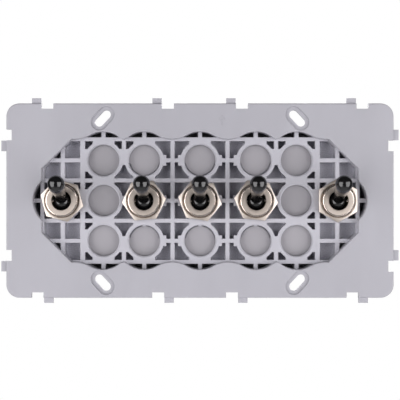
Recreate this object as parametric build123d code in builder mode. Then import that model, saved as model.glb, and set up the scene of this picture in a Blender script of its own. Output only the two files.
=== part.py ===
from build123d import *
from math import cos, radians, sin, sqrt
import os

# Five-gang two-way toggle switch on a double wall-box support, without its finishing plate.
# Millimetres. X runs to the right, Z up, and the front looks towards -Y. The wall lies at Y = 0,
# behind the flange, and the origin is the middle of the support.

# Support flange
flange_width = 141.4
flange_height = 71.0
flange_thickness = 2.0
flange_corner_radius = 4.8
flange_edge_round = 0.5
module_pitch = 71.0

# Interlocking tabs and notches on the four edges
joint_offset = 22.0
joint_shift = 0.4
joint_gap = 0.1
tab_height = 1.9
tab_overlap = 0.5
tab_thickness = 1.2
notch_depth = 2.0
long_edge_tab_width = 3.4
long_edge_notch_width = 4.4
short_edge_tab_width = 3.8
short_edge_notch_width = 4.0

# Slots for the box screws, one at each corner of the two modules
screw_pitch_z = 60.0
slot_width = 3.2
slot_travel = 3.8
slot_angle = 47.0
slot_recess_margin = 1.4
slot_recess_depth = 0.6

# Switch positions: five columns of three, and one more at each end
column_pitch = 15.0
centre_gap = 20.5
row_pitch = 14.8

# Opening in the flange and the moulded tray behind it
bar_inner_z = 21.85
bar_thickness = 1.4
valley_z = 22.45
scallop_radius = 9.6
scallop_crest_z = 25.2
end_wall_x = 57.8
end_bar_inner_x = 57.3
end_crest_x = 61.0
end_corner_cut = 10.8
end_fillet = 1.2
opening_edge_round = 0.4
tray_wall = 1.4
tray_round = 6.5
tray_depth = 10.0
grid_drop = 3.0
pocket_depth = 5.5

# Rings, webs and ribs of the grid
ring_radius = 7.2
blank_radius = 5.75
blank_depth = 2.5
blank_thickness = 1.5
blank_edge_chamfer = 0.4
slit_width = 0.35
slit_depth = 0.8
slit_start_z = -1.0
slit_bridge_width = 2.2
key_width = 1.2
key_height = 0.45
key_drop = 0.6
web_half_width = 4.0
side_web_half_height = 4.2
inner_web_half_height = 1.75
lug_reach = 8.1
lug_half_height = 2.0
centre_rib_x = 10.1
end_rib_x = 43.2
end_rib_width = 1.7
rib_width = 1.5

# Threaded bushing, nut and lock washer
bushing_radius = 5.95
bushing_proud = 1.0
bushing_edge_round = 0.6
mouth_radius = 3.45
mouth_chamfer = 0.25
rear_bore_radius = 4.6
rear_bore_start = 5.2
rear_bore_cone = 1.0
flare_radius = 5.4
flare_length = 3.0
shoulder_radius = 6.3
shoulder_thickness = 1.0
panel_clearance = 0.15
nut_across_flats = 14.0
nut_thickness = 2.0
nut_face_radius = 6.7
nut_chamfer_angle = 30.0
thread_clearance = 0.05
washer_thickness = 0.6
washer_radius = 6.95
washer_teeth = 12
washer_tooth_depth = 0.45
nut_turns = (-15.0, 5.0, -9.0, -6.0, 30.0)

# Lever with its ball, cross pin, spring and plunger
pivot_depth = 3.0
lever_angle = 20.0
lever_reach = 17.2
tip_radius = 3.0
neck_radius = 1.3
neck_length = 7.0
flare_step = 13.0
flare_step_radius = 2.6
ball_clearance = 0.15
arm_radius = 2.3
arm_length = 6.0
arm_bore_radius = 1.45
arm_bore_bottom = 1.9
pin_radius = 0.6
pin_half_length = 5.2
pin_fit = 0.01
pin_running_clearance = 0.06
spring_wire_radius = 0.15
spring_turns = 3
spring_gap = 0.05
plunger_head_radius = 1.35
plunger_head_start = 3.8
plunger_head_length = 2.4
plunger_nose_radius = 1.1
plunger_reach = 13.0
seat_clearance = 0.25

# Rocker contact on its knife edge
rocker_angle = 6.0
rocker_width = 5.0
rocker_half_length = 9.6
rocker_lead = 2.5
rocker_arc_half_height = 4.6
wing_offset = 2.5
wing_inner_z = 4.4
rocker_boss_radius = 1.1
knife_clearance = 0.05
contact_radius = 1.3
contact_height = 0.6
contact_z = 8.2
contact_gap = 0.2

# Terminals and their screws
strip_thickness = 0.8
terminal_width = 5.0
throw_leg_z = 10.6
throw_pad_inner_z = 6.6
throw_plate_end_z = 5.7
throw_screw_z = 8.1
common_leg_z = 2.6
common_plate_end_z = 3.4
common_screw_z = 0.6
terminal_slot_clearance = 0.05
screw_radius = 1.45
screw_clearance = 0.1
screw_length = 3.0
screw_head_radius = 2.6
screw_head_height = 1.6
screw_slot_width = 0.7
screw_slot_depth = 0.8

# Switch housing and its snap-on cover plate
housing_width = 14.4
housing_height = 28.0
housing_corner_radius = 1.0
cavity_half_width = 5.4
cavity_half_height = 11.5
cavity_depth = 10.0
floor_thickness = 4.0
bay_depth = 5.5
barrier_z = 4.3
barrier_thickness = 1.1
end_barrier_thickness = 1.2
shoulder_clearance = 0.05
plate_thickness = 1.0
leg_width = 7.0
leg_length = 8.0
leg_thickness = 0.8
window_width = 4.0
window_length = 2.4
window_start = 3.8
catch_clearance = 0.1
catch_height = 0.6
catch_lip_height = 0.2

# Edges and corners nearer to a place than this are the ones meant
same_place = 0.01

# Places worked out from the sizes above
front_y = -flange_thickness
grid_y = front_y + grid_drop
tray_back_y = front_y + tray_depth
outer_column = centre_gap + column_pitch
end_column = outer_column + column_pitch
columns = (-outer_column, -centre_gap, 0.0, centre_gap, outer_column)
rows = (-row_pitch, 0.0, row_pitch)
toggle_columns = (-end_column, -centre_gap, 0.0, centre_gap, end_column)
toggle_places = [(x, 0.0) for x in toggle_columns]
blank_places = [(x, z) for x in columns for z in rows if (x, z) not in toggle_places]
slit_columns = (-centre_gap, 0.0, centre_gap)
half_row = row_pitch / 2
signs = (-1, 1)

bushing_top_y = front_y - bushing_proud
pivot_y = bushing_top_y + pivot_depth
ball_radius = mouth_radius - ball_clearance
housing_y = tray_back_y + plate_thickness
shoulder_back_y = housing_y + shoulder_thickness
cavity_floor_y = housing_y + cavity_depth
floor_back_y = cavity_floor_y + floor_thickness
bay_back_y = floor_back_y + bay_depth
screw_seat_y = floor_back_y + strip_thickness
nose_centre = plunger_reach - plunger_nose_radius
knife_y = pivot_y + nose_centre + rocker_lead
knife_radius = strip_thickness / 2


def wall_plane(y):
    """The plane parallel to the wall at a given Y, seen from the front."""
    return Plane.XZ.offset(-y)


def save(part, name):
    """Name a finished piece and write its file."""
    part.label = name
    export_step(part, f"parts/{name}.step")


def save_at_columns(part, name):
    """Write one copy of a switch's piece for each of the five positions."""
    for number, x in enumerate(toggle_columns, start=1):
        save(part.moved(Location((x, 0, 0))), f"{name}_{number}")


os.makedirs("parts", exist_ok=True)

# Scalloped opening: a rectangle with cut corners, with a round bay over each column and at each
# end. The bays run into the straight edges by rounds that fit between neighbouring columns.
scallop_z = scallop_crest_z - scallop_radius
end_scallop_x = end_crest_x - scallop_radius
scallop_rise = valley_z - scallop_z
scallop_reach = sqrt(scallop_radius**2 - scallop_rise**2)
end_scallop_reach = sqrt(scallop_radius**2 - (end_wall_x - end_scallop_x) ** 2)
round_margin = 0.05


def valley_radius(half_gap):
    """Round between a bay and the straight edge that ends within half the gap to the next bay."""
    reach = half_gap - round_margin
    return (reach**2 - scallop_reach**2) / (2 * (scallop_radius - scallop_rise))


wide_round = valley_radius(centre_gap / 2)
narrow_round = valley_radius(column_pitch / 2)
valley_rounds = [
    (scallop_reach, wide_round),
    (centre_gap - scallop_reach, wide_round),
    (centre_gap + scallop_reach, narrow_round),
    (outer_column - scallop_reach, narrow_round),
    (outer_column + scallop_reach, wide_round),
]

with BuildSketch() as opening:
    Rectangle(2 * end_wall_x, 2 * valley_z)
    chamfer(opening.vertices(), end_corner_cut)
    with Locations([(x, side * scallop_z) for x in columns for side in signs]):
        Circle(scallop_radius)
    with Locations([(side * end_scallop_x, 0) for side in signs]):
        Circle(scallop_radius)
    for corner_x, radius in valley_rounds:
        fillet(
            [
                v
                for v in opening.vertices()
                if abs(abs(v.X) - corner_x) < same_place and abs(v.Y) > bar_inner_z
            ],
            radius,
        )
    fillet([v for v in opening.vertices() if abs(abs(v.Y) - end_scallop_reach) < same_place], end_fillet)

# Outside of the tray, a wall's thickness away, with rounds where there is room for them
tray_reach = sqrt((scallop_radius + tray_wall) ** 2 - (scallop_rise + tray_wall) ** 2)
wide_tray_corners = (
    tray_reach,
    centre_gap - tray_reach,
    outer_column + tray_reach,
)
with BuildSketch() as tray_outline:
    Rectangle(2 * (end_wall_x + tray_wall), 2 * (valley_z + tray_wall))
    chamfer(tray_outline.vertices(), end_corner_cut + tray_wall * (2 - sqrt(2)))
    with Locations([(x, side * scallop_z) for x in columns for side in signs]):
        Circle(scallop_radius + tray_wall)
    with Locations([(side * end_scallop_x, 0) for side in signs]):
        Circle(scallop_radius + tray_wall)
    fillet(
        [
            v
            for v in tray_outline.vertices()
            if abs(v.Y) > bar_inner_z and min(abs(abs(v.X) - x) for x in wide_tray_corners) < same_place
        ],
        tray_round,
    )

# Pockets of the grid: the opening less its bars, ribs, rings and webs
with BuildSketch() as pockets:
    add(opening.sketch)
    with Locations([(0, side * (bar_inner_z + bar_thickness / 2)) for side in signs]):
        Rectangle(2 * end_wall_x, bar_thickness, mode=Mode.SUBTRACT)
    with Locations([(side * (end_bar_inner_x + bar_thickness / 2), 0) for side in signs]):
        Rectangle(bar_thickness, 2 * valley_z, mode=Mode.SUBTRACT)
    with Locations([(side * end_rib_x, 0) for side in signs]):
        Rectangle(end_rib_width, 2 * valley_z, mode=Mode.SUBTRACT)
    with Locations([(side * centre_rib_x, 0) for side in signs]):
        Rectangle(rib_width, 2 * valley_z, mode=Mode.SUBTRACT)
    with Locations([(0, side * half_row) for side in signs]):
        Rectangle(2 * end_wall_x, rib_width, mode=Mode.SUBTRACT)
    short_rib = valley_z - row_pitch
    with Locations(
        [
            (side * (centre_gap + column_pitch / 2), end * (row_pitch + short_rib / 2))
            for side in signs
            for end in signs
        ]
    ):
        Rectangle(rib_width, short_rib, mode=Mode.SUBTRACT)
    end_rib_length = valley_z - half_row
    with Locations(
        [(side * end_column, end * (half_row + end_rib_length / 2)) for side in signs for end in signs]
    ):
        Rectangle(rib_width, end_rib_length, mode=Mode.SUBTRACT)
    row_rib = end_wall_x - end_rib_x
    with Locations([(side * (end_rib_x + row_rib / 2), end * row_pitch) for side in signs for end in signs]):
        Rectangle(row_rib, rib_width, mode=Mode.SUBTRACT)
    with Locations([(0, z) for z in rows]):
        Rectangle(2 * centre_gap, rib_width, mode=Mode.SUBTRACT)
    with Locations([(side * (end_crest_x + end_wall_x) / 2, 0) for side in signs]):
        Rectangle(2 * (end_crest_x - end_wall_x), rib_width, mode=Mode.SUBTRACT)
    with Locations([(x, side * scallop_crest_z) for x in columns for side in signs]):
        Rectangle(rib_width, 2 * (scallop_crest_z - valley_z), mode=Mode.SUBTRACT)
    with Locations(blank_places + toggle_places):
        Circle(ring_radius, mode=Mode.SUBTRACT)
    with Locations([(x, 0) for x in columns]):
        Rectangle(2 * web_half_width, 2 * valley_z, mode=Mode.SUBTRACT)
    end_web_width = 2 * (end_bar_inner_x - end_column) + bar_thickness
    with Locations([(side * end_column, 0) for side in signs]):
        Rectangle(2 * web_half_width, row_pitch, mode=Mode.SUBTRACT)
        Rectangle(end_web_width, 2 * side_web_half_height, mode=Mode.SUBTRACT)
    with Locations([(side * (outer_column + end_rib_x) / 2, z) for side in signs for z in rows]):
        Rectangle(end_rib_x - outer_column, 2 * side_web_half_height, mode=Mode.SUBTRACT)
    with Locations([(side * (centre_gap + outer_column) / 2, z) for side in signs for z in rows]):
        Rectangle(column_pitch, 2 * inner_web_half_height, mode=Mode.SUBTRACT)
    with Locations(
        [
            (side * (centre_gap + outer_column) / 2, end * (row_pitch + side_web_half_height / 2))
            for side in signs
            for end in signs
        ]
    ):
        Rectangle(column_pitch, side_web_half_height, mode=Mode.SUBTRACT)
    with Locations(
        [(side * lug_reach / 2, z) for side in signs for z in rows]
        + [(side * (centre_gap - lug_reach / 2), z) for side in signs for z in rows]
    ):
        Rectangle(lug_reach, 2 * lug_half_height, mode=Mode.SUBTRACT)

# Break-out slits of a blank that a toggle switch stands beside: two thin arcs at the edge of the
# disc, in the half towards the switch, with a bridge left between them
with BuildSketch() as break_out_slits:
    Circle(blank_radius)
    Circle(blank_radius - slit_width, mode=Mode.SUBTRACT)
    with Locations((0, slit_start_z + blank_radius)):
        Rectangle(2 * blank_radius, 2 * blank_radius, mode=Mode.SUBTRACT)
    Rectangle(slit_bridge_width, 2 * blank_radius, mode=Mode.SUBTRACT)

# Support: flange, tray, grid of pockets, closed blanks and bored switch positions, in one moulding
tab_length = tab_height + tab_overlap
long_joints = [end * module_pitch / 2 + side * joint_offset - joint_shift for end in signs for side in signs]
short_joints = [side * joint_offset for side in signs]
screw_places = [(side * module_pitch / 2, end * screw_pitch_z / 2) for side in signs for end in signs]

with BuildPart() as support:
    with BuildSketch(wall_plane(front_y)):
        RectangleRounded(flange_width, flange_height, flange_corner_radius)
    extrude(amount=-flange_thickness)
    fillet(support.faces().sort_by(Axis.Y)[0].edges(), flange_edge_round)
    with BuildSketch(wall_plane(front_y)):
        for side in signs:
            notch_z = (flange_height - notch_depth) / 2
            notch_x = (flange_width - notch_depth) / 2
            for joint in long_joints:
                with Locations((side * (joint + long_edge_notch_width / 2), side * notch_z)):
                    Rectangle(long_edge_notch_width, notch_depth)
            for joint in short_joints:
                with Locations((side * notch_x, side * (joint - short_edge_notch_width / 2))):
                    Rectangle(notch_depth, short_edge_notch_width)
    extrude(amount=-flange_thickness, mode=Mode.SUBTRACT)
    with BuildSketch(wall_plane(0)):
        for side in signs:
            tab_z = flange_height / 2 + tab_height - tab_length / 2
            tab_x = flange_width / 2 + tab_height - tab_length / 2
            for joint in long_joints:
                with Locations((side * (joint - joint_gap - long_edge_tab_width / 2), side * tab_z)):
                    Rectangle(long_edge_tab_width, tab_length)
            for joint in short_joints:
                with Locations((side * tab_x, side * (joint + joint_gap + short_edge_tab_width / 2))):
                    Rectangle(tab_length, short_edge_tab_width)
    extrude(amount=tab_thickness)
    with BuildSketch(wall_plane(0)):
        add(tray_outline.sketch)
    extrude(amount=-tray_back_y)
    with BuildSketch(wall_plane(front_y)):
        add(opening.sketch)
    extrude(amount=-grid_drop, mode=Mode.SUBTRACT)
    rim_z = scallop_crest_z + same_place
    rim_x = end_crest_x + same_place
    rim = [
        edge
        for edge in support.edges().filter_by_position(Axis.Y, front_y, front_y)
        if abs(edge.center().Z) < rim_z and abs(edge.center().X) < rim_x
    ]
    fillet(rim, opening_edge_round)
    with BuildSketch(wall_plane(grid_y)):
        add(pockets.sketch)
    extrude(amount=-pocket_depth, mode=Mode.SUBTRACT)
    with BuildSketch(wall_plane(front_y)):
        for x, z in screw_places:
            with Locations(Location((x, z), slot_angle if x * z < 0 else -slot_angle)):
                SlotCenterToCenter(slot_travel, slot_width + 2 * slot_recess_margin)
    extrude(amount=-slot_recess_depth, mode=Mode.SUBTRACT)
    with BuildSketch(wall_plane(front_y)):
        for x, z in screw_places:
            with Locations(Location((x, z), slot_angle if x * z < 0 else -slot_angle)):
                SlotCenterToCenter(slot_travel, slot_width)
    extrude(amount=-flange_thickness, mode=Mode.SUBTRACT)
    with BuildSketch(wall_plane(grid_y)):
        with Locations(blank_places):
            Circle(blank_radius)
    extrude(amount=-blank_depth, mode=Mode.SUBTRACT)
    blank_rims = [
        edge
        for edge in support.edges().filter_by(GeomType.CIRCLE).filter_by_position(Axis.Y, grid_y, grid_y)
        if abs(edge.radius - blank_radius) < same_place
    ]
    chamfer(blank_rims, blank_edge_chamfer)
    with BuildSketch(wall_plane(grid_y + key_drop)):
        with Locations([(x, -row_pitch + blank_radius) for x in slit_columns]):
            Rectangle(key_width, 2 * key_height)
    extrude(amount=key_drop - blank_depth)
    with BuildSketch(wall_plane(grid_y + blank_depth)):
        for x in slit_columns:
            with Locations(Location((x, row_pitch)), Location((x, -row_pitch), 180)):
                add(break_out_slits.sketch)
    extrude(amount=-slit_depth, mode=Mode.SUBTRACT)
    with BuildSketch(wall_plane(tray_back_y)):
        with Locations(blank_places):
            Circle(blank_radius)
    extrude(amount=tray_back_y - grid_y - blank_depth - blank_thickness, mode=Mode.SUBTRACT)
    with BuildSketch(wall_plane(grid_y)):
        with Locations(toggle_places):
            Circle(bushing_radius + panel_clearance)
    extrude(amount=grid_y - tray_back_y, mode=Mode.SUBTRACT)
save(support.part, "support")

# Bushing: a turned, threaded barrel with a shoulder at the back that the cover plate holds
with BuildPart() as bushing:
    with BuildSketch(Plane.XY):
        with BuildLine():
            Polyline(
                (mouth_radius + mouth_chamfer, bushing_top_y),
                (bushing_radius, bushing_top_y),
                (bushing_radius, housing_y),
                (shoulder_radius, housing_y),
                (shoulder_radius, shoulder_back_y),
                (flare_radius, shoulder_back_y),
                (rear_bore_radius, shoulder_back_y - flare_length),
                (rear_bore_radius, bushing_top_y + rear_bore_start + rear_bore_cone),
                (mouth_radius, bushing_top_y + rear_bore_start),
                (mouth_radius, bushing_top_y + mouth_chamfer),
                close=True,
            )
        make_face()
    revolve(axis=Axis.Y)
    fillet(bushing.edges().group_by(Axis.Y)[0].sort_by(SortBy.RADIUS)[-1], bushing_edge_round)
    with BuildSketch(Plane.YZ):
        with Locations((pivot_y, 0)):
            Circle(pin_radius + pin_fit)
    extrude(amount=shoulder_radius, both=True, mode=Mode.SUBTRACT)
save_at_columns(bushing.part, "bushing")

# Nuts and toothed lock washers, which clamp the grid against the cover plates
nut_front_y = grid_y - washer_thickness - nut_thickness
nut_corner_radius = nut_across_flats / sqrt(3)
chamfer_depth = (nut_corner_radius - nut_face_radius) * sin(radians(nut_chamfer_angle))
nuts = []
for x, turn in zip(toggle_columns, nut_turns):
    with BuildPart() as nut:
        with BuildSketch(wall_plane(nut_front_y)):
            with Locations((x, 0)):
                RegularPolygon(nut_corner_radius, 6, rotation=turn)
                Circle(bushing_radius + thread_clearance, mode=Mode.SUBTRACT)
        extrude(amount=-nut_thickness)
        with BuildSketch(Plane.XY):
            with Locations((x, nut_front_y)):
                with BuildLine():
                    Polyline(
                        (x, nut_front_y),
                        (x + nut_face_radius, nut_front_y),
                        (x + nut_corner_radius, nut_front_y + chamfer_depth),
                        (x + nut_corner_radius, nut_front_y + nut_thickness),
                        (x, nut_front_y + nut_thickness),
                        close=True,
                    )
            make_face()
        revolve(axis=Axis((x, 0, 0), (0, 1, 0)), mode=Mode.INTERSECT)
    nuts.append(nut.part)
with BuildPart() as hex_nuts:
    add(nuts)
save(hex_nuts.part, "hex_nuts")

with BuildPart() as lock_washers:
    with BuildSketch(wall_plane(grid_y)):
        with Locations(toggle_places):
            Circle(washer_radius)
            Circle(bushing_radius + thread_clearance, mode=Mode.SUBTRACT)
            with PolarLocations(washer_radius, washer_teeth):
                Circle(washer_tooth_depth, mode=Mode.SUBTRACT)
    extrude(amount=washer_thickness)
save(lock_washers.part, "lock_washers")

# Lever: tip, neck, ball and inner arm in one moulding, flipped up at rest. Its length runs from
# the middle of the ball towards the tip.
tilt = radians(lever_angle)
along = Vector(0, -cos(tilt), sin(tilt))
ball_centre = Vector(0, pivot_y, 0)
lever_plane = Plane(origin=ball_centre, x_dir=(1, 0, 0), z_dir=(0, -sin(tilt), -cos(tilt)))
lever_axis = Axis(ball_centre, along)
ball_to_arm = sqrt(ball_radius**2 - arm_radius**2)
ball_to_neck = sqrt(ball_radius**2 - neck_radius**2)


def across_lever(step):
    """The plane square to the lever at a distance from the ball towards the tip."""
    return Plane(origin=ball_centre + along * step, x_dir=(1, 0, 0), z_dir=along)


with BuildPart() as lever:
    with BuildSketch(lever_plane):
        with BuildLine():
            Line((0, -arm_length), (arm_radius, -arm_length))
            Line((arm_radius, -arm_length), (arm_radius, -ball_to_arm))
            ThreePointArc((arm_radius, -ball_to_arm), (ball_radius, 0), (neck_radius, ball_to_neck))
            Line((neck_radius, ball_to_neck), (neck_radius, neck_length))
            Spline(
                (neck_radius, neck_length),
                (flare_step_radius, flare_step),
                (tip_radius, lever_reach),
                tangents=[(0, 1), (0, 1)],
            )
            CenterArc((0, lever_reach), tip_radius, 0, 90)
            Line((0, lever_reach + tip_radius), (0, -arm_length))
        make_face()
    revolve(axis=lever_axis)
    with BuildSketch(Plane.YZ):
        with Locations((pivot_y, 0)):
            Circle(pin_radius + pin_running_clearance)
    extrude(amount=ball_radius, both=True, mode=Mode.SUBTRACT)
    with BuildSketch(across_lever(-arm_length)):
        Circle(arm_bore_radius)
    extrude(amount=arm_length - arm_bore_bottom, mode=Mode.SUBTRACT)
save_at_columns(lever.part, "lever")

# Cross pin: the lever turns on it, and it sits in the bushing
with BuildPart() as pivot_pin:
    with BuildSketch(Plane.YZ):
        with Locations((pivot_y, 0)):
            Circle(pin_radius)
    extrude(amount=pin_half_length, both=True)
save_at_columns(pivot_pin.part, "pivot_pin")

# Plunger: slides in the arm's bore, with a round nose on the rocker
with BuildPart() as plunger:
    with BuildSketch(lever_plane):
        with BuildLine():
            Polyline(
                (0, -plunger_head_start),
                (plunger_head_radius, -plunger_head_start),
                (plunger_head_radius, -plunger_head_start - plunger_head_length),
                (plunger_nose_radius, -plunger_head_start - plunger_head_length),
                (plunger_nose_radius, -nose_centre),
            )
            CenterArc((0, -nose_centre), plunger_nose_radius, 0, -90)
            Line((0, -plunger_reach), (0, -plunger_head_start))
        make_face()
    revolve(axis=lever_axis)
save_at_columns(plunger.part, "plunger")

# Detent spring between the bottom of the bore and the plunger
spring_radius = arm_bore_radius - spring_gap - spring_wire_radius
spring_start = plunger_head_start - spring_gap - spring_wire_radius
spring_length = spring_start - arm_bore_bottom - spring_gap - spring_wire_radius
with BuildPart() as spring:
    with BuildLine() as coil:
        Helix(
            pitch=spring_length / spring_turns,
            height=spring_length,
            radius=spring_radius,
            center=ball_centre - along * spring_start,
            direction=along,
        )
    with BuildSketch(Plane(origin=coil.line @ 0, z_dir=coil.line % 0)):
        Circle(spring_wire_radius)
    sweep(path=coil.line, is_frenet=True)
save_at_columns(spring.part, "spring")

# Rocker contact: a saddle that the plunger's nose runs along, with a wing and a contact at each
# end. The saddle's round follows the nose while the rocker tilts with the lever, which it does by
# the share below of the lever's angle. At rest its lower end is pressed back.
rocker_share = rocker_angle / lever_angle
nose_path_radius = (nose_centre - rocker_share * rocker_lead) ** 2 / (nose_centre * (1 + 2 * rocker_share))
saddle_radius = nose_path_radius + plunger_nose_radius + seat_clearance
saddle_centre = pivot_y + nose_centre - nose_path_radius - knife_y
saddle_back_radius = saddle_radius + strip_thickness
saddle_end = sqrt(saddle_radius**2 - rocker_arc_half_height**2)
saddle_back_end_z = rocker_arc_half_height * saddle_back_radius / saddle_radius
saddle_back_end = saddle_end * saddle_back_radius / saddle_radius
rest = radians(rocker_angle)
rocker_plane = Plane(origin=(0, knife_y, 0), x_dir=(0, cos(rest), sin(rest)), z_dir=(1, 0, 0))
wing_centre_z = (wing_inner_z + rocker_half_length) / 2
contact_face = -wing_offset + strip_thickness + contact_height

with BuildPart() as rocker:
    with BuildSketch(rocker_plane):
        with BuildLine():
            ThreePointArc(
                (saddle_centre + saddle_end, -rocker_arc_half_height),
                (saddle_centre + saddle_radius, 0),
                (saddle_centre + saddle_end, rocker_arc_half_height),
            )
            Line(
                (saddle_centre + saddle_end, rocker_arc_half_height),
                (saddle_centre + saddle_back_end, saddle_back_end_z),
            )
            ThreePointArc(
                (saddle_centre + saddle_back_end, saddle_back_end_z),
                (saddle_centre + saddle_back_radius, 0),
                (saddle_centre + saddle_back_end, -saddle_back_end_z),
            )
            Line(
                (saddle_centre + saddle_back_end, -saddle_back_end_z),
                (saddle_centre + saddle_end, -rocker_arc_half_height),
            )
        make_face()
        with Locations([(-wing_offset + strip_thickness / 2, side * wing_centre_z) for side in signs]):
            Rectangle(strip_thickness, rocker_half_length - wing_inner_z)
        Circle(rocker_boss_radius)
        with Locations((rocker_boss_radius, 0)):
            Rectangle(2 * rocker_boss_radius, 2 * rocker_boss_radius, mode=Mode.SUBTRACT)
        Circle(knife_radius + knife_clearance, mode=Mode.SUBTRACT)
    extrude(amount=rocker_width / 2, both=True)
    contact_plane = Plane(
        origin=rocker_plane.from_local_coords((contact_face, 0, 0)),
        x_dir=(1, 0, 0),
        z_dir=rocker_plane.x_dir,
    )
    with BuildSketch(contact_plane):
        with Locations((0, contact_z), (0, -contact_z)):
            Circle(contact_radius)
    extrude(amount=-contact_height)
save_at_columns(rocker.part, "rocker_contact")


# Terminals: bent brass strips. The common one ends in the rocker's knife edge, and each throw
# terminal in a pad behind a contact. All end in a plate under a screw on the housing's back.
pad_front_y = (
    knife_y + contact_face * cos(rest) + (contact_z + contact_radius) * sin(rest) + contact_gap
)
plate_middle_y = floor_back_y + strip_thickness / 2
jog_y = cavity_floor_y - strip_thickness / 2


def strip(points):
    """Lay a strip's section along straight runs between points in the Y-Z plane."""
    for (y1, z1), (y2, z2) in zip(points, points[1:]):
        with Locations(((y1 + y2) / 2, (z1 + z2) / 2)):
            Rectangle(abs(y2 - y1) + strip_thickness, abs(z2 - z1) + strip_thickness)


with BuildPart() as common_terminal:
    with BuildSketch(Plane.YZ):
        strip(
            [
                (knife_y + strip_thickness, 0),
                (jog_y, 0),
                (jog_y, -common_leg_z),
                (plate_middle_y, -common_leg_z),
                (plate_middle_y, common_plate_end_z - strip_thickness / 2),
            ]
        )
        with Locations((knife_y, 0)):
            Circle(knife_radius)
        with Locations((knife_y + knife_radius, 0)):
            Rectangle(2 * knife_radius, strip_thickness)
    extrude(amount=terminal_width / 2, both=True)
    with BuildSketch(wall_plane(floor_back_y)):
        with Locations((0, common_screw_z)):
            Circle(screw_radius + thread_clearance)
    extrude(amount=-strip_thickness, mode=Mode.SUBTRACT)
save_at_columns(common_terminal.part, "common_terminal")

with BuildPart() as throw_terminals:
    for side in signs:
        with BuildSketch(Plane.YZ):
            strip(
                [
                    (pad_front_y + strip_thickness / 2, side * (throw_pad_inner_z + strip_thickness / 2)),
                    (pad_front_y + strip_thickness / 2, side * throw_leg_z),
                    (plate_middle_y, side * throw_leg_z),
                    (plate_middle_y, side * (throw_plate_end_z + strip_thickness / 2)),
                ]
            )
        extrude(amount=terminal_width / 2, both=True)
    with BuildSketch(wall_plane(floor_back_y)):
        with Locations([(0, side * throw_screw_z) for side in signs]):
            Circle(screw_radius + thread_clearance)
    extrude(amount=-strip_thickness, mode=Mode.SUBTRACT)
save_at_columns(throw_terminals.part, "throw_terminals")

# Terminal screws: slotted pan heads, three behind each switch
screw_z_places = (-throw_screw_z, common_screw_z, throw_screw_z)
screw_places_at_back = [(x, z) for x in toggle_columns for z in screw_z_places]
with BuildPart() as terminal_screws:
    with BuildSketch(wall_plane(screw_seat_y)):
        with Locations(screw_places_at_back):
            Circle(screw_head_radius)
    extrude(amount=-screw_head_height)
    with BuildSketch(wall_plane(screw_seat_y)):
        with Locations(screw_places_at_back):
            Circle(screw_radius)
    extrude(amount=screw_length)
    with BuildSketch(wall_plane(screw_seat_y + screw_head_height)):
        with Locations(screw_places_at_back):
            Rectangle(2 * screw_head_radius, screw_slot_width)
    extrude(amount=screw_slot_depth, mode=Mode.SUBTRACT)
save(terminal_screws.part, "terminal_screws")

# Housing: a moulded box, open to the front, with three screw bays behind its floor and a catch
# at each end for the cover plate's legs
bay_outer_z = housing_height / 2 - end_barrier_thickness
outer_bay_inner_z = barrier_z + barrier_thickness
outer_bay_height = bay_outer_z - outer_bay_inner_z
outer_bay_z = (bay_outer_z + outer_bay_inner_z) / 2
leg_z_places = (-common_leg_z, -throw_leg_z, throw_leg_z)
catch_length = window_length - 2 * catch_clearance
catch_y = housing_y + window_start + catch_clearance

with BuildPart() as housing:
    with BuildSketch(wall_plane(housing_y)):
        RectangleRounded(housing_width, housing_height, housing_corner_radius)
    extrude(amount=housing_y - bay_back_y)
    with BuildSketch(wall_plane(housing_y)):
        Rectangle(2 * cavity_half_width, 2 * cavity_half_height)
    extrude(amount=-cavity_depth, mode=Mode.SUBTRACT)
    with BuildSketch(wall_plane(housing_y)):
        Circle(shoulder_radius + shoulder_clearance)
    extrude(amount=-shoulder_thickness - shoulder_clearance, mode=Mode.SUBTRACT)
    with BuildSketch(wall_plane(floor_back_y)):
        Rectangle(2 * housing_width, 2 * barrier_z)
        with Locations([(0, side * outer_bay_z) for side in signs]):
            Rectangle(2 * housing_width, outer_bay_height)
    extrude(amount=-bay_depth, mode=Mode.SUBTRACT)
    with BuildSketch(wall_plane(cavity_floor_y)):
        with Locations([(0, z) for z in leg_z_places]):
            Rectangle(
                terminal_width + 2 * terminal_slot_clearance,
                strip_thickness + 2 * terminal_slot_clearance,
            )
    extrude(amount=-floor_thickness, mode=Mode.SUBTRACT)
    with BuildSketch(wall_plane(floor_back_y)):
        with Locations([(0, z) for z in screw_z_places]):
            Circle(screw_radius + screw_clearance)
    extrude(amount=screw_length - strip_thickness + screw_clearance, mode=Mode.SUBTRACT)
    for side in signs:
        end_z = side * housing_height / 2
        with BuildSketch(Plane.YZ):
            with BuildLine():
                Polyline(
                    (catch_y, end_z),
                    (catch_y, end_z + side * catch_height),
                    (catch_y + catch_length, end_z + side * catch_lip_height),
                    (catch_y + catch_length, end_z),
                    close=True,
                )
            make_face()
        extrude(amount=window_width / 2 - catch_clearance, both=True)
save_at_columns(housing.part, "housing")

# Cover plate: folded steel, with a hole for the bushing and two legs that snap over the catches
with BuildPart() as cover_plate:
    with BuildSketch(wall_plane(tray_back_y)):
        RectangleRounded(housing_width, housing_height, housing_corner_radius)
        with Locations([(0, side * (housing_height / 2)) for side in signs]):
            Rectangle(leg_width, 2 * leg_thickness)
        Circle(bushing_radius + thread_clearance, mode=Mode.SUBTRACT)
    extrude(amount=-plate_thickness)
    with BuildSketch(wall_plane(tray_back_y)):
        with Locations([(0, side * (housing_height + leg_thickness) / 2) for side in signs]):
            Rectangle(leg_width, leg_thickness)
    extrude(amount=-plate_thickness - leg_length)
    with BuildSketch(Plane.XY.offset(-housing_height)):
        with Locations((0, housing_y + window_start + window_length / 2)):
            Rectangle(window_width, window_length)
    extrude(amount=2 * housing_height, mode=Mode.SUBTRACT)
save_at_columns(cover_plate.part, "cover_plate")
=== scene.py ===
import math

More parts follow.
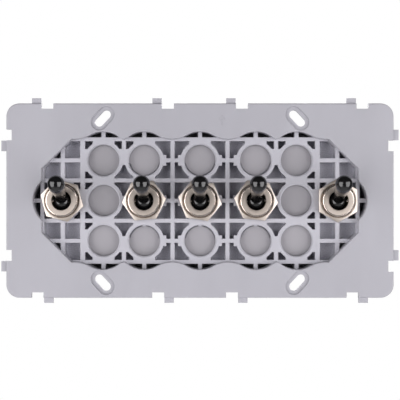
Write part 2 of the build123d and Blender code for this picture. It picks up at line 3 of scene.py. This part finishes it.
import bmesh
import bpy
import numpy as np
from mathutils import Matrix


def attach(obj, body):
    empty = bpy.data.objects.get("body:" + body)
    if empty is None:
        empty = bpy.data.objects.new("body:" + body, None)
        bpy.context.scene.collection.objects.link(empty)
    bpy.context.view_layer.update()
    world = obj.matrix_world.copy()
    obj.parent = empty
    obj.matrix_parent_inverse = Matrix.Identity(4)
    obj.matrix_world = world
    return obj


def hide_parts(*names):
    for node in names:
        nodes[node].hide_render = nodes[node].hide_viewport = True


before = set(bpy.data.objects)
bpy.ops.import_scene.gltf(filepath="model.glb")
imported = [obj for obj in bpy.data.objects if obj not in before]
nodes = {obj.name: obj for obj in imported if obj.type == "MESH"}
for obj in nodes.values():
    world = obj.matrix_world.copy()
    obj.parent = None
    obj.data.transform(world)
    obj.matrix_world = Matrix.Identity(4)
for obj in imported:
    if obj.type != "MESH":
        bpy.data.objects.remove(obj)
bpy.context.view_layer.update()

# Camera: straight in front of the plate, at the distance that gives the photograph's perspective.
# The width of its view is taken at the front of the flange.
flange_front = -0.002
camera_distance = 0.360
camera_height = 0.0002
view_width = 0.1459
sensor_width = 36.0
scene = bpy.context.scene
camera_data = bpy.data.cameras.new("camera")
camera = bpy.data.objects.new("camera", camera_data)
scene.collection.objects.link(camera)
camera.location = (0.0, flange_front - camera_distance, camera_height)
camera.rotation_euler = (math.radians(90), 0.0, 0.0)
camera_data.sensor_width = sensor_width
camera_data.lens = sensor_width * camera_distance / view_width
camera_data.clip_start = 0.01
camera_data.clip_end = 20.0
scene.camera = camera
scene.view_settings.view_transform = "Standard"

# Studio: two soft boxes in front at the sides, one behind for the back, a dim room, and a white
# backdrop. The camera sees it all round, and metal mirrors it where it stands behind the object.
box_distance = 0.75
box_azimuth = 49.0
box_elevation = -18.0
box_size = (0.66, 0.95)
box_power = 5.6
box_colour = (1.0, 0.985, 1.0)
white = (1.0, 1.0, 1.0, 1.0)
back_size = (1.1, 0.9)
back_power = 9.0
back_place = (0.0, 0.8, 0.4)
room_level = 0.05
backdrop_start, backdrop_full = 0.75, 0.95


def soft_box(name, size, power, place, turn, rise, colour=(1.0, 1.0, 1.0)):
    """A rectangular area light that leans and turns towards the object."""
    data = bpy.data.lights.new(name, "AREA")
    data.shape = "RECTANGLE"
    data.size, data.size_y = size
    data.energy = power
    data.color = colour
    lamp = bpy.data.objects.new(name, data)
    scene.collection.objects.link(lamp)
    lamp.location = place
    lamp.rotation_euler = (math.radians(90) + rise, 0.0, turn)


for side in (-1, 1):
    turn, rise = math.radians(side * box_azimuth), math.radians(box_elevation)
    place = (
        box_distance * math.sin(turn) * math.cos(rise),
        -box_distance * math.cos(turn) * math.cos(rise),
        box_distance * math.sin(rise),
    )
    soft_box("soft_box", box_size, box_power, place, turn, rise, box_colour)
back_rise = -math.atan2(back_place[2], back_place[1])
soft_box("back_box", back_size, back_power, back_place, math.radians(180), back_rise)


def add_node(tree, kind, inputs=None, **settings):
    """Add a shader node, set its plain settings, and set or link the named or numbered inputs."""
    node = tree.nodes.new(kind)
    for name, value in settings.items():
        setattr(node, name, value)
    for name, value in (inputs or {}).items():
        if isinstance(value, bpy.types.NodeSocket):
            tree.links.new(value, node.inputs[name])
        else:
            node.inputs[name].default_value = value
    return node


def maths(tree, operation, *values):
    """The result of a math node on the given values or sockets."""
    return add_node(tree, "ShaderNodeMath", dict(enumerate(values)), operation=operation).outputs[0]


def ramp(tree, value, low, high, first, last):
    """The value's range from low to high, carried over to the range from first to last."""
    inputs = {"Value": value, 1: low, 2: high, 3: first, 4: last}
    return add_node(tree, "ShaderNodeMapRange", inputs).outputs[0]


def blend(tree, share, first, second):
    """A number that goes from the first to the second as the share goes from 0 to 1."""
    return add_node(tree, "ShaderNodeMix", {0: share, 2: first, 3: second}).outputs[0]


world = bpy.data.worlds.new("studio")
scene.world = world
world.use_nodes = True
sky = world.node_tree
sky.nodes.clear()
direction = add_node(sky, "ShaderNodeTexCoord").outputs["Generated"]
towards = add_node(sky, "ShaderNodeSeparateXYZ", {0: direction}).outputs["Y"]
behind = ramp(sky, towards, backdrop_start, backdrop_full, 0.0, 1.0)
seen = add_node(sky, "ShaderNodeLightPath").outputs
mirrored = maths(sky, "MAXIMUM", seen["Is Glossy Ray"], seen["Is Transmission Ray"])
mirrored = maths(sky, "MULTIPLY", mirrored, behind)
shown = maths(sky, "MAXIMUM", seen["Is Camera Ray"], mirrored)
level = blend(sky, shown, room_level, 1.0)
backdrop = add_node(sky, "ShaderNodeBackground", {"Color": white, "Strength": level})
add_node(sky, "ShaderNodeOutputWorld", {"Surface": backdrop.outputs[0]})

# Studio floor, far below the part, which is held on a wall. It is painted plain: white to the
# camera, and a pale grey to all other light.
floor_half, floor_height = 4, -0.9
floor_grey = (0.5, 0.5, 0.5, 1.0)
floor_corners = [
    (x * floor_half, y * floor_half, floor_height) for x, y in ((-1, -1), (1, -1), (1, 1), (-1, 1))
]
floor_mesh = bpy.data.meshes.new("floor")
floor_mesh.from_pydata(floor_corners, [], [(0, 1, 2, 3)])
floor = bpy.data.objects.new("floor", floor_mesh)
scene.collection.objects.link(floor)
floor_paint = bpy.data.materials.new("floor_white")
floor_paint.use_nodes = True
tree = floor_paint.node_tree
tree.nodes.clear()
to_camera = add_node(tree, "ShaderNodeLightPath").outputs["Is Camera Ray"]
pale = add_node(tree, "ShaderNodeBsdfDiffuse", {"Color": floor_grey}).outputs[0]
glow = add_node(tree, "ShaderNodeEmission", {"Color": white, "Strength": 1.0}).outputs[0]
mixed = add_node(tree, "ShaderNodeMixShader", {0: to_camera, 1: pale, 2: glow}).outputs[0]
add_node(tree, "ShaderNodeOutputMaterial", {"Surface": mixed})
floor_mesh.materials.append(floor_paint)

# Support: one large moulding in grey technical plastic with a satin skin. The closed blanks of its
# grid show the turned ends of the core pins that formed them, the pocket floors are mottled by the
# eroded mould, and ejector pins have left two faint rings on the flange. Its colour also holds
# painted light: a painted highlight on the grid's front faces and the chamfers of its rings, painted
# shade round the rims of the blanks' sunk discs and in the narrow crescents past the grid, and
# pocket floors painted lighter, as if more light reached them.
grey = (0.462, 0.458, 0.500)
blank_grey = (0.405, 0.392, 0.418)
blank_columns = (0.0, 0.0205, 0.0355)
blank_row_pitch = 0.0148
blank_radius = 0.0057
blank_depths = (0.0032, 0.0040)
# Painted shade: the blanks' sunk discs are darkened towards their rims, in the corner at the ring
# wall.
rim_shade_radii, rim_shade_tone = (0.0053, 0.0056), 0.70
ripple_pitch, ripple_height = 0.00042, 0.35
# Painted highlight: the grid's front faces and the chamfers of its rings are made lighter.
land_depths, land_highlight_tone = (0.00085, 0.00145), 1.16
# Painted light: the pocket floors are made lighter.
floor_depths, floor_light_tone = (0.0062, 0.0068), 1.42
# Painted shade: the narrow crescents past the grid are made dark.
crescent_height, crescent_side, crescent_shade_tone = 0.0232, 0.0586, 0.24
ejector_marks = ((-0.0269, 0.0294), (-0.0274, -0.0291))
ejector_radius, ejector_edge, ejector_height = 0.0024, 0.0001, 1.2
edge_rounding, edge_samples = 0.00025, 6
noise_range = (0.3, 0.7)
flow_stretch = (1.0, 1.0, 0.35)
skin_grain, skin_flow = 6000.0, 45.0
skin_smooth, skin_rough = 0.38, 0.50
skin_tones = (0.955, 1.045)
erosion_scale, erosion_tones = 2600.0, (0.82, 1.18)
relief_strength, relief_distance = 0.35, 0.00003


def new_group(name, inputs, outputs):
    """A shader node group with the named float, vector or colour sockets, and its two end nodes."""
    group = bpy.data.node_groups.new(name, "ShaderNodeTree")
    for label, kind, value in inputs:
        socket = group.interface.new_socket(label, in_out="INPUT", socket_type=kind)
        if value is not None:
            socket.default_value = value
    for label, kind in outputs:
        group.interface.new_socket(label, in_out="OUTPUT", socket_type=kind)
    return group, group.nodes.new("NodeGroupInput"), group.nodes.new("NodeGroupOutput")


def noise(tree, vector, scale, detail, roughness):
    """The value of a noise at a vector."""
    inputs = {"Vector": vector, "Scale": scale, "Detail": detail, "Roughness": roughness}
    return add_node(tree, "ShaderNodeTexNoise", inputs).outputs["Fac"]


def moulded_grain_group():
    """Fine skin of moulded plastic: a height for the bump, and a slow tone from the way it flowed."""
    group, given, out = new_group(
        "moulded_grain",
        [("Grain", "NodeSocketFloat", 7000.0), ("Flow", "NodeSocketFloat", 60.0)],
        [("Height", "NodeSocketFloat"), ("Tone", "NodeSocketFloat")],
    )
    where = add_node(group, "ShaderNodeTexCoord").outputs["Object"]
    drawn = {"Vector": where, "Scale": flow_stretch}
    drawn = add_node(group, "ShaderNodeMapping", drawn).outputs[0]
    grain = noise(group, where, given.outputs["Grain"], detail=3.0, roughness=0.6)
    flow = noise(group, drawn, given.outputs["Flow"], detail=4.0, roughness=0.55)
    group.links.new(grain, out.inputs["Height"])
    group.links.new(flow, out.inputs["Tone"])
    return group


def new_material(name, base, roughness, metallic=0.0):
    """A material with one Principled shader, its constant values set on its own sockets."""
    material = bpy.data.materials.new(name)
    material.use_nodes = True
    shader = material.node_tree.nodes["Principled BSDF"]
    shader.inputs["Base Color"].default_value = (*base, 1.0)
    shader.inputs["Roughness"].default_value = roughness
    shader.inputs["Metallic"].default_value = metallic
    return material, material.node_tree, shader


def grain_of(tree, grain_scale, flow_scale):
    """The two outputs of the moulded grain at the given scales."""
    grain = add_node(tree, "ShaderNodeGroup", {}, node_tree=moulded_grain)
    grain.inputs["Grain"].default_value = grain_scale
    grain.inputs["Flow"].default_value = flow_scale
    return grain.outputs


def between(tree, value, low, high):
    """1 where the value lies between the two limits, else 0."""
    above = maths(tree, "GREATER_THAN", value, low)
    return maths(tree, "MULTIPLY", above, maths(tree, "LESS_THAN", value, high))


def scaled(tree, vector, factor):
    """A vector or a colour times a number."""
    inputs = {0: vector, "Scale": factor}
    return add_node(tree, "ShaderNodeVectorMath", inputs, operation="SCALE").outputs[0]


def length_of(tree, vector):
    """The length of a vector."""
    return add_node(tree, "ShaderNodeVectorMath", {0: vector}, operation="LENGTH").outputs["Value"]


def give(node_name, material):
    """Put a material on a carried-over node in place of its plain one."""
    data = nodes[node_name].data
    data.materials.clear()
    data.materials.append(material)


moulded_grain = moulded_grain_group()
support_material, tree, shader = new_material("grey_moulding", grey, skin_rough)
grain = grain_of(tree, skin_grain, skin_flow)
where = add_node(tree, "ShaderNodeTexCoord").outputs["Object"]
axes = add_node(tree, "ShaderNodeSeparateXYZ", {0: where}).outputs

# The distance to the middle of the nearest blank, and the mask of the blanks' sunk discs.
half = maths(tree, "ABSOLUTE", axes["X"])
row = maths(tree, "ROUND", maths(tree, "DIVIDE", axes["Z"], blank_row_pitch))
height = maths(tree, "ADD", axes["Z"], maths(tree, "MULTIPLY", row, -blank_row_pitch))
nearest = None
for column in blank_columns:
    across = maths(tree, "SUBTRACT", half, column)
    offset = add_node(tree, "ShaderNodeCombineXYZ", {"X": across, "Y": height}).outputs[0]
    reach = length_of(tree, offset)
    nearest = reach if nearest is None else maths(tree, "MINIMUM", nearest, reach)
disc = maths(tree, "LESS_THAN", nearest, blank_radius)
disc = maths(tree, "MULTIPLY", disc, between(tree, axes["Y"], *blank_depths))
# Painted shade at the rim of each blank's sunk disc.
rim_shade = maths(tree, "MULTIPLY", ramp(tree, nearest, *rim_shade_radii, 0.0, 1.0), disc)

# The tone of each place, painted light for the most part: a painted highlight on the land and the
# rings' chamfers, painted shade at the blanks' rims, painted light on the pocket floors with the
# eroded mottle, and painted shade in the crescents past the grid.
lit_land = between(tree, axes["Y"], *land_depths)
pocket = between(tree, axes["Y"], *floor_depths)
# The mask of the crescents that get the painted shade.
crescent_shade_mask = maths(tree, "GREATER_THAN", maths(tree, "ABSOLUTE", axes["Z"]), crescent_height)
crescent_shade_mask = maths(tree, "MAXIMUM", crescent_shade_mask, maths(tree, "GREATER_THAN", half, crescent_side))
spark = noise(tree, where, erosion_scale, detail=3.0, roughness=0.7)
spark = ramp(tree, spark, *noise_range, *erosion_tones)
# Painted light on the pocket floors and painted shade in the crescents, times the eroded mottle.
pocket_light_and_shade = maths(tree, "MULTIPLY", blend(tree, crescent_shade_mask, floor_light_tone, crescent_shade_tone), spark)
place = blend(tree, lit_land, 1.0, land_highlight_tone)
place = blend(tree, rim_shade, place, rim_shade_tone)
place = blend(tree, pocket, place, pocket_light_and_shade)
tone = maths(tree, "MULTIPLY", ramp(tree, grain["Tone"], *noise_range, *skin_tones), place)
colours = {0: disc, 6: (*grey, 1.0), 7: (*blank_grey, 1.0)}
tint = add_node(tree, "ShaderNodeMix", colours, data_type="RGBA").outputs[2]
tree.links.new(scaled(tree, tint, tone), shader.inputs["Base Color"])
roughness = ramp(tree, grain["Height"], *noise_range, skin_smooth, skin_rough)
tree.links.new(roughness, shader.inputs["Roughness"])

# The relief: the grain, the turned rings of the blanks and the edges of the ejector marks.
rings = maths(tree, "SINE", maths(tree, "MULTIPLY", nearest, 2 * math.pi / ripple_pitch))
ripple = maths(tree, "MULTIPLY", maths(tree, "MULTIPLY", rings, disc), ripple_height)
relief = maths(tree, "ADD", grain["Height"], ripple)
for mark_x, mark_z in ejector_marks:
    centre = {0: where, 1: (-mark_x, 0.0, -mark_z)}
    centre = add_node(tree, "ShaderNodeVectorMath", centre, operation="ADD").outputs[0]
    level = {0: centre, 1: (1.0, 0.0, 1.0)}
    level = add_node(tree, "ShaderNodeVectorMath", level, operation="MULTIPLY").outputs[0]
    limits = ejector_radius - ejector_edge, ejector_radius + ejector_edge
    dent = ramp(tree, length_of(tree, level), *limits, 0.0, ejector_height)
    relief = maths(tree, "ADD", relief, dent)
edges = add_node(tree, "ShaderNodeBevel", {"Radius": edge_rounding}, samples=edge_samples).outputs[0]
bump = {"Strength": relief_strength, "Distance": relief_distance, "Height": relief, "Normal": edges}
tree.links.new(add_node(tree, "ShaderNodeBump", bump).outputs[0], shader.inputs["Normal"])
give("support", support_material)

# Arrow: a low raised mark on the upper rim that shows which way up the support goes. It is
# moulded with the support, in the same plastic.
mm = 0.001
arrow_centre = (8.0 * mm, 29.4 * mm)
arrow_rise = 0.12 * mm
arrow_shape = (
    (-0.3, -1.85), (0.3, -1.85), (0.3, 0.35), (1.15, 0.35), (0.0, 1.85), (-1.15, 0.35), (-0.3, 0.35)
)


def new_piece(name, points, faces, material, body, replaced=None):
    """A mesh object made from an array of points and one of faces, riding on a body."""
    data = bpy.data.meshes.new(name)
    data.from_pydata(points.tolist(), [], faces)
    data.materials.append(material)
    piece = bpy.data.objects.new(name, data)
    scene.collection.objects.link(piece)
    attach(piece, body)
    if replaced:
        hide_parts(replaced)
    return piece


outline = np.array(arrow_shape) * mm + np.array(arrow_centre)
corners = len(outline)
depths = np.repeat([flange_front + arrow_rise, flange_front - arrow_rise], corners)
outline = np.tile(outline, (2, 1))
points = np.column_stack([outline[:, 0], depths, outline[:, 1]])
ring = np.arange(corners)
after = (ring + 1) % corners
walls = np.column_stack([ring, after, after + corners, ring + corners])
faces = walls.tolist() + [(ring + corners).tolist(), ring[::-1].tolist()]
new_piece("up_arrow", points, faces, support_material, "support_assembly")

# Bushings: turned brass barrels with a fine M12 thread that runs out through the rounded front
# edge, nickel plated. They stand proud of the nuts that clamp them, and carry the lever's cross pin.
toggle_columns = np.array([-50.5, -20.5, 0.0, 20.5, 50.5]) * mm
barrel_front, barrel_radius = -3.0, 5.95
barrel_edge, edge_rows = 0.6, 17
mouth_radius, mouth_chamfer, face_rows = 3.45, 0.25, 6
thread_pitch, thread_depth = 1.0, 0.5
thread_end, thread_fade = 8.6, 0.4
thread_turn = 0.55
thread_gap, rows_per_pitch = 0.05, 12
shoulder_front, shoulder_back, shoulder_radius = 9.0, 10.0, 6.3
flare_start, flare_radius = 7.0, 5.4
bore_step, bore_radius = (2.2, 3.2), 4.6
bushing_turns = 144
into_wall = (0.0, 1.0, 0.0)
nickel = (0.82, 0.72, 0.64)
polished_share = 0.48
metal_range, metal_tones = (0.25, 0.75), (0.93, 1.05)
tool_line_strength = 0.2
weld_distance = 1e-7


def turned_surface(
    name, radius, depth, polish, x, axis, closed, material, body, replaced, crease=32.0
):
    """A turned piece. Row i, column j of the grid is the point at the angle a = 2 pi j / columns:
    (x, 0, 0) + depth[i, j] * axis + radius[i, j] * (cos a * side + sin a * up), with the depth and
    the radius in millimetres. A closed profile comes back to its first row, and an open one starts
    and ends on the axis. The UV map holds the angle and the row, and the polish attribute how
    smooth each row was left."""
    rows, columns = radius.shape
    angle = np.linspace(0.0, 2.0 * np.pi, columns, endpoint=False)
    axis = np.array(axis, float)
    side = np.array([1.0, 0.0, 0.0])
    up = np.cross(axis, side)
    spoke = np.cos(angle)[:, None] * side + np.sin(angle)[:, None] * up
    points = np.array((x, 0.0, 0.0)) + mm * (depth[..., None] * axis + radius[..., None] * spoke)
    steps = rows if closed else rows - 1
    i, j = np.meshgrid(np.arange(steps), np.arange(columns), indexing="ij")
    here, there = i * columns, (i + 1) % rows * columns
    after = (j + 1) % columns
    faces = np.stack([here + j, here + after, there + after, there + j], axis=-1).reshape(-1, 4)
    piece = new_piece(name, points.reshape(-1, 3), faces.tolist(), material, body, replaced)
    data = piece.data
    turn = np.stack([j, j + 1, j + 1, j], axis=-1) / columns
    along = np.stack([i, i, i + 1, i + 1], axis=-1) / rows
    uv = np.stack([turn, along], axis=-1).reshape(-1)
    data.uv_layers.new(name="turned").data.foreach_set("uv", uv)
    smoothness = data.attributes.new("polish", "FLOAT", "POINT")
    smoothness.data.foreach_set("value", np.repeat(polish, columns))
    shell = bmesh.new()
    shell.from_mesh(data)
    bmesh.ops.remove_doubles(shell, verts=shell.verts, dist=weld_distance)
    bmesh.ops.recalc_face_normals(shell, faces=shell.faces)
    shell.to_mesh(data)
    shell.free()
    data.shade_smooth()
    data.set_sharp_from_angle(angle=math.radians(crease))
    return piece


def tool_lines_group():
    """Fine lines that a turning tool leaves: a noise stretched along one direction of its vector."""
    group, given, out = new_group(
        "tool_lines",
        [("Vector", "NodeSocketVector", None), ("Stretch", "NodeSocketVector", (1.0, 1.0, 1.0))],
        [("Height", "NodeSocketFloat"), ("Tone", "NodeSocketFloat")],
    )
    stretched = {0: given.outputs["Vector"], 1: given.outputs["Stretch"]}
    spread = add_node(group, "ShaderNodeVectorMath", stretched, operation="MULTIPLY").outputs[0]
    fine = noise(group, spread, 1.0, detail=3.0, roughness=0.6)
    slow = noise(group, spread, 0.12, detail=2.0, roughness=0.5)
    group.links.new(fine, out.inputs["Height"])
    group.links.new(slow, out.inputs["Tone"])
    return group


def metal(name, colour, stretch, smooth, rough, bump_height, uv_map=None):
    """Bare or plated metal: tool lines stretched as given, a roughness range, and a slight tone."""
    material, tree, shader = new_material(name, colour, rough, 1.0)
    if uv_map:
        vector = add_node(tree, "ShaderNodeUVMap", uv_map=uv_map).outputs[0]
    else:
        vector = add_node(tree, "ShaderNodeTexCoord").outputs["Object"]
    lines = add_node(tree, "ShaderNodeGroup", {}, node_tree=tool_lines)
    tree.links.new(vector, lines.inputs["Vector"])
    lines.inputs["Stretch"].default_value = stretch
    spread = ramp(tree, lines.outputs["Tone"], *noise_range, smooth, rough)
    if uv_map:
        polish = add_node(tree, "ShaderNodeAttribute", attribute_name="polish").outputs["Fac"]
        spread = maths(tree, "MULTIPLY", spread, ramp(tree, polish, 0.0, 1.0, 1.0, polished_share))
    tree.links.new(spread, shader.inputs["Roughness"])
    tone = ramp(tree, lines.outputs["Tone"], *metal_range, *metal_tones)
    tree.links.new(scaled(tree, colour, tone), shader.inputs["Base Color"])
    bump = {"Strength": tool_line_strength, "Distance": bump_height, "Height": lines.outputs["Height"]}
    tree.links.new(add_node(tree, "ShaderNodeBump", bump).outputs[0], shader.inputs["Normal"])
    return material


tool_lines = tool_lines_group()
nickel_turned = metal(
    "nickel_turned", nickel, stretch=(9.0, 260.0, 1.0),
    smooth=0.36, rough=0.50, bump_height=0.00001, uv_map="turned",
)

# The profile goes from the mouth over the rounded edge and along the thread to the shoulder, and
# back through the bore.
edge_angle = np.linspace(0.0, np.pi / 2, edge_rows)
edge_radius = barrel_radius - barrel_edge * (1.0 - np.sin(edge_angle))
edge_depth = barrel_front + barrel_edge * (1.0 - np.cos(edge_angle))
thread_rows = np.arange(edge_depth[-1] + thread_gap, thread_end, thread_pitch / rows_per_pitch)
face_radius = np.linspace(mouth_radius + mouth_chamfer, edge_radius[0], face_rows)[:-1]
profile_radius = np.concatenate(
    [
        face_radius,
        edge_radius,
        np.full(len(thread_rows), barrel_radius),
        [barrel_radius, shoulder_radius],
        [shoulder_radius, flare_radius, bore_radius, bore_radius, mouth_radius, mouth_radius],
    ]
)
profile_depth = np.concatenate(
    [
        np.full(len(face_radius), barrel_front),
        edge_depth,
        thread_rows,
        [shoulder_front, shoulder_front],
        [shoulder_back, shoulder_back, flare_start],
        [bore_step[1], bore_step[0], barrel_front + mouth_chamfer],
    ]
)

# The groove's depth is a triangle wave of the way along the barrel in pitches, less the share of a
# turn, which makes it a helix. It fades out over the last of the thread. Each point has the smaller
# of the two radii, the profile's and the groove's, so the groove runs out through the rounded edge.
angle = np.linspace(0.0, 2.0 * np.pi, bushing_turns, endpoint=False)
along_thread = (profile_depth[:, None] - barrel_front) / thread_pitch
phase = (along_thread - angle / (2.0 * np.pi) + thread_turn) % 1.0
valley = thread_depth * (1.0 - np.abs(2.0 * phase - 1.0))
finish = np.clip((thread_end - profile_depth) / thread_fade, 0.0, 1.0)
groove_radius = barrel_radius - valley * finish[:, None]
threaded = slice(len(face_radius), len(face_radius) + len(edge_radius) + len(thread_rows))
bushing_radius = np.repeat(profile_radius[:, None], bushing_turns, axis=1)
bushing_radius[threaded] = np.minimum(bushing_radius[threaded], groove_radius[threaded])
bushing_depth = np.repeat(profile_depth[:, None], bushing_turns, axis=1)
bushing_polish = np.ones(len(profile_depth))
bushing_polish[: len(face_radius) + 1] = 0.0
for number, x in enumerate(toggle_columns, start=1):
    turned_surface(
        f"threaded_bushing_{number}", bushing_radius, bushing_depth, bushing_polish,
        x, into_wall, closed=True, material=nickel_turned,
        body="support_assembly", replaced=f"bushing_{number}",
    )

# Hex nuts: cut from drawn bar, chamfered at the corners, countersunk at the thread, nickel plated.
# Each stopped at its own angle when it was tightened.
nut_front, nut_back = -1.6, 0.4
nut_apothem = 7.0
nut_bore, countersink = 6.0, 0.35
nut_face, nut_face_band, nut_face_drop = 6.7, 0.1, 0.01
nut_chamfer_slope = 0.36
nut_edge_in, nut_edge_down = 0.06, 0.08
nut_angles = (-15.0, 5.0, -9.0, -6.0, 30.0)
nut_turns = 240
nut_polish = np.array([1.0, 1.0, 0.6, 0.0, 0.0, 0.3, 0.6, 0.6, 0.6])
nickel_face = metal(
    "nickel_face", (0.75, 0.67, 0.60), stretch=(9.0, 60.0, 1.0),
    smooth=0.40, rough=0.54, bump_height=0.00001, uv_map="turned",
)

# A flat's distance from the axis is the apothem over the cosine of the angle from the flat's middle.
# The chamfer cuts the front back in step with that distance, most at the corners.
angle = np.linspace(0.0, 2.0 * np.pi, nut_turns, endpoint=False)
for number, (x, lean) in enumerate(zip(toggle_columns, nut_angles), start=1):
    sector = (angle + math.radians(lean)) % (np.pi / 3) - np.pi / 6
    side_radius = nut_apothem / np.cos(sector)
    side_front = nut_front + nut_chamfer_slope * (side_radius - nut_face)
    flat = np.ones(nut_turns)
    rows = [
        (nut_bore * flat, nut_back * flat),
        (nut_bore * flat, (nut_front + countersink) * flat),
        ((nut_bore + countersink) * flat, nut_front * flat),
        ((nut_face - nut_face_band) * flat, nut_front * flat),
        (nut_face * flat, (nut_front + nut_face_drop) * flat),
        (side_radius - nut_edge_in, side_front),
        (side_radius, side_front + nut_edge_down),
        (side_radius, nut_back * flat - nut_edge_down),
        (side_radius - nut_edge_in, nut_back * flat),
    ]
    nut_radius, nut_depth = np.array(rows).transpose(1, 0, 2)
    turned_surface(
        f"hex_nut_{number}", nut_radius, nut_depth, nut_polish,
        x, into_wall, closed=True, material=nickel_face,
        body="support_assembly", replaced="hex_nuts", crease=24.0,
    )

# Lock washers: toothed spring steel, zinc plated, under the nuts. They keep the nuts from working
# loose.
zinc_plate = metal(
    "zinc_plate", (0.58, 0.58, 0.57), stretch=(3000.0, 3000.0, 900.0),
    smooth=0.30, rough=0.46, bump_height=0.00001,
)
give("lock_washers", zinc_plate)

# Levers: black thermoset, polished in the mould, each in one piece with its bulb, slim taper, ball
# and the hollow arm that takes the spring.
lever_lean = math.radians(20.0)
lever_axis = (0.0, -math.cos(lever_lean), math.sin(lever_lean))
ball_radius, neck_radius = 3.3, 2.1
bulb_centre, bulb_radius, bulb_start = 17.2, 3.0, 5.0
arm_radius, arm_length, arm_edge = 2.3, 6.0, 0.2
arm_bore, arm_bore_end = 1.45, 1.9
ball_rows, neck_rows, swell_rows, end_rows = 28, 8, 22, 18
lever_columns = 96


def plastic(
    name, base, grain_scale, flow_scale, smooth, rough, strength, bump_height,
    constants=None, tones=None,
):
    """Moulded plastic: the grain as a bump, a roughness range that follows the flow, constants for
    the shader's own sockets, and where asked a range of greys that follows the flow too."""
    material, tree, shader = new_material(name, base, rough)
    for socket, value in (constants or {}).items():
        shader.inputs[socket].default_value = value
    grain = grain_of(tree, grain_scale, flow_scale)
    if tones:
        tone = ramp(tree, grain["Tone"], *noise_range, *tones)
        shade = add_node(tree, "ShaderNodeCombineXYZ", {0: tone, 1: tone, 2: tone}).outputs[0]
        tree.links.new(shade, shader.inputs["Base Color"])
    roughness = ramp(tree, grain["Tone"], *noise_range, smooth, rough)
    tree.links.new(roughness, shader.inputs["Roughness"])
    bump = {"Strength": strength, "Distance": bump_height, "Height": grain["Height"]}
    tree.links.new(add_node(tree, "ShaderNodeBump", bump).outputs[0], shader.inputs["Normal"])
    return material


polished_black = plastic(
    "polished_black", (0.005, 0.005, 0.0055), grain_scale=2500.0, flow_scale=150.0,
    smooth=0.11, rough=0.17, strength=0.05, bump_height=0.00002, constants={"IOR": 1.75},
)

# The profile starts in the hollow of the arm, goes round its end and up its side, over the ball as
# an arc, and up the neck. From there it swells by the share 3 s^2 - 2 s^3 of the way s to the bulb,
# which ends round.
ball_start = math.pi - math.asin(arm_radius / ball_radius)
ball_turn = np.linspace(ball_start, math.asin(neck_radius / ball_radius), ball_rows)
neck_depth = np.linspace(ball_radius * math.cos(ball_turn[-1]), bulb_start, neck_rows)[1:-1]
swell = np.linspace(0.0, 1.0, swell_rows)
end_turn = np.linspace(math.pi / 2, 0.0, end_rows)[1:]
lever_radius = np.concatenate(
    [
        [0.0, arm_bore, arm_bore, arm_radius, arm_radius],
        ball_radius * np.sin(ball_turn),
        np.full(len(neck_depth), neck_radius),
        neck_radius + (bulb_radius - neck_radius) * swell**2 * (3.0 - 2.0 * swell),
        bulb_radius * np.sin(end_turn),
    ]
)
lever_depth = np.concatenate(
    [
        [-arm_bore_end, -arm_bore_end, -arm_length, -arm_length, arm_edge - arm_length],
        ball_radius * np.cos(ball_turn),
        neck_depth,
        bulb_start + (bulb_centre - bulb_start) * swell,
        bulb_centre + bulb_radius * np.cos(end_turn),
    ]
)
lever_polish = np.ones(len(lever_radius))
lever_radius = np.repeat(lever_radius[:, None], lever_columns, axis=1)
lever_depth = np.repeat(lever_depth[:, None], lever_columns, axis=1)
for number, x in enumerate(toggle_columns, start=1):
    turned_surface(
        f"polished_lever_{number}", lever_radius, lever_depth, lever_polish,
        x, lever_axis, closed=False, material=polished_black,
        body=f"lever_body_{number}", replaced=f"lever_{number}",
    )

# Inside the levers: a ground steel pin across the ball, a drawn wire spring, and a plunger moulded
# in natural plastic, which lets a little light in.
ground_steel = metal(
    "ground_steel", (0.56, 0.56, 0.57), stretch=(400.0, 6000.0, 6000.0),
    smooth=0.16, rough=0.28, bump_height=0.000005,
)
drawn_wire = metal(
    "drawn_wire", (0.50, 0.50, 0.51), stretch=(5000.0, 5000.0, 5000.0),
    smooth=0.22, rough=0.36, bump_height=0.000005,
)
natural_plastic = plastic(
    "natural_plastic", (0.72, 0.69, 0.60), grain_scale=5000.0, flow_scale=300.0,
    smooth=0.28, rough=0.42, strength=0.15, bump_height=0.00001,
    constants={"Subsurface Weight": 0.15, "Subsurface Scale": 0.001},
)
for number in range(1, 6):
    give(f"pivot_pin_{number}", ground_steel)
    give(f"spring_{number}", drawn_wire)
    give(f"plunger_{number}", natural_plastic)

# Rocker contacts and terminals: cut and bent from rolled brass strip, with the rolling lines along
# it, slightly browned.
rolled_brass = metal(
    "rolled_brass", (0.72, 0.53, 0.27), stretch=(9000.0, 600.0, 600.0),
    smooth=0.24, rough=0.40, bump_height=0.00001,
)
for number in range(1, 6):
    give(f"rocker_contact_{number}", rolled_brass)
    give(f"common_terminal_{number}", rolled_brass)
    give(f"throw_terminals_{number}", rolled_brass)

# Terminal screws: cold-headed steel with a slot, zinc plated, three behind each switch. They clamp
# the wires to the terminals.
screw_plate = metal(
    "screw_plate", (0.62, 0.62, 0.60), stretch=(2500.0, 2500.0, 2500.0),
    smooth=0.24, rough=0.42, bump_height=0.00001,
)
give("terminal_screws", screw_plate)

# Housings: moulded boxes in black thermoset with a satin skin, a little paler where the powder
# flowed last.
black_moulding = plastic(
    "black_moulding", (0.024, 0.024, 0.026), grain_scale=4500.0, flow_scale=160.0,
    smooth=0.34, rough=0.50, strength=0.3, bump_height=0.00002, tones=(0.018, 0.036),
)
for number in range(1, 6):
    give(f"housing_{number}", black_moulding)

# Cover plates: punched and folded steel sheet, zinc plated, snapped over the housings' catches.
# They hold the bushings.
rolled_steel = metal(
    "rolled_steel", (0.60, 0.61, 0.61), stretch=(7000.0, 500.0, 500.0),
    smooth=0.26, rough=0.40, bump_height=0.00001,
)
for number in range(1, 6):
    give(f"cover_plate_{number}", rolled_steel)
